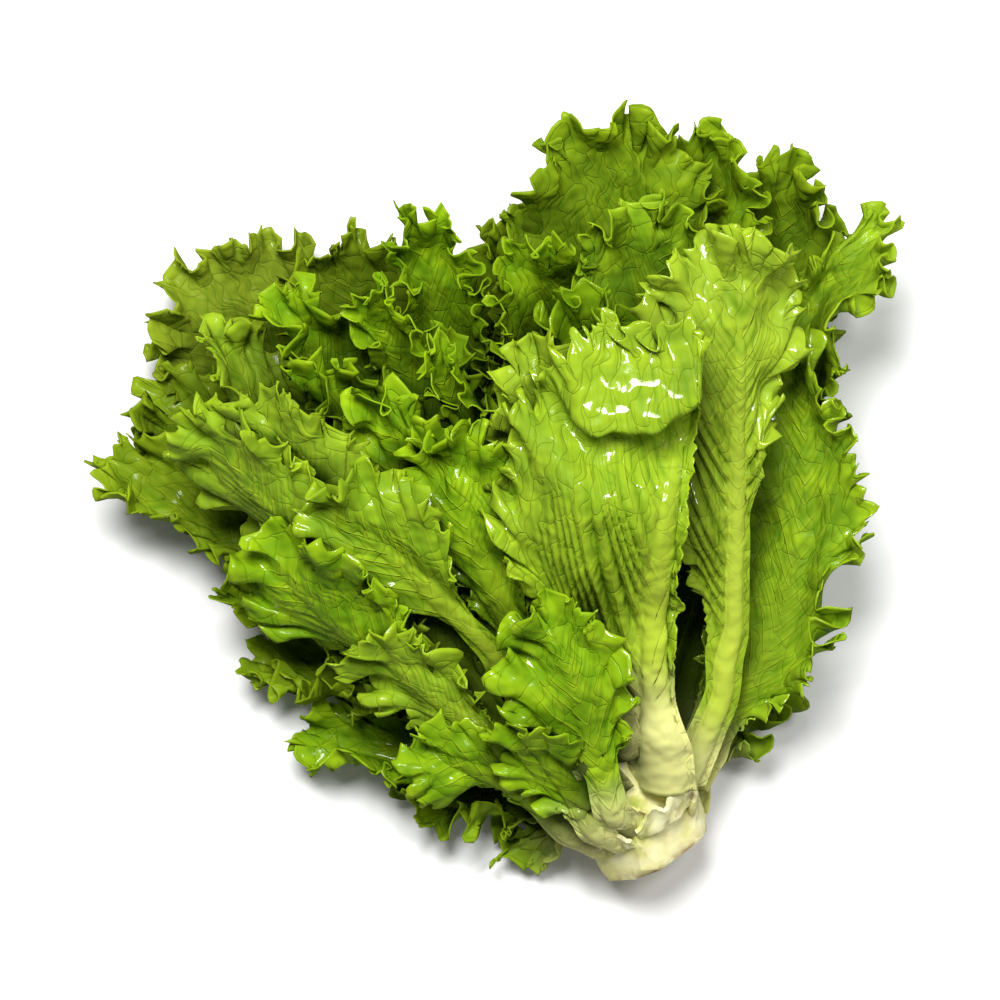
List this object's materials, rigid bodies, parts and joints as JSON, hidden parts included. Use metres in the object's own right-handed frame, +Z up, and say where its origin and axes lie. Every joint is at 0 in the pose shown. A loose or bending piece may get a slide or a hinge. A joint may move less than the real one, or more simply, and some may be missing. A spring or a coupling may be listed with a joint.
{
  "type": "green leaf lettuce",
  "caption": "Head of green leaf lettuce lying on its side: waved, frilled leaf blades on pale ribs that spread from a short cut stem.",
  "frame": {"origin": "middle of the head's plan, on the surface it lies on", "axes": "+Z up from the surface, -Y towards the cut stem, +Y towards the leaf tips"},
  "size_m": [0.2676, 0.2604, 0.1288],
  "materials": {
    "inner_leaf": "fresh yellow-green leaf, satin with a wet gloss, lighter at the frill",
    "under_leaf": "older olive-green leaf, satin",
    "stem": "cream stem with pale leaf bases and a browned cut"
  },
  "bodies": {
    "root": {"heart_leaf_01": "inner_leaf", "heart_leaf_02": "inner_leaf", "heart_leaf_03": "inner_leaf", "heart_leaf_04": "inner_leaf", "heart_leaf_05": "inner_leaf", "heart_leaf_06": "inner_leaf", "heart_leaf_07": "inner_leaf", "heart_leaf_08": "inner_leaf", "heart_leaf_09": "inner_leaf", "over_leaf_01": "inner_leaf", "over_leaf_02": "inner_leaf", "over_leaf_03": "inner_leaf", "over_leaf_04": "inner_leaf", "over_leaf_05": "inner_leaf", "over_leaf_06": "inner_leaf", "over_leaf_07": "inner_leaf", "over_leaf_08": "inner_leaf", "over_leaf_09": "inner_leaf", "over_leaf_10": "inner_leaf", "over_leaf_11": "inner_leaf", "over_leaf_12": "inner_leaf", "stem": "stem", "under_leaf_01": "under_leaf", "under_leaf_02": "under_leaf", "under_leaf_03": "under_leaf", "under_leaf_04": "under_leaf", "under_leaf_05": "under_leaf", "under_leaf_06": "under_leaf", "under_leaf_07": "under_leaf", "under_leaf_08": "under_leaf", "under_leaf_09": "under_leaf", "under_leaf_10": "under_leaf", "under_leaf_11": "under_leaf", "under_leaf_12": "under_leaf", "under_leaf_13": "under_leaf", "under_leaf_14": "under_leaf", "under_leaf_15": "under_leaf", "under_leaf_16": "under_leaf", "under_leaf_17": "under_leaf"}
  },
  "joints": []
}
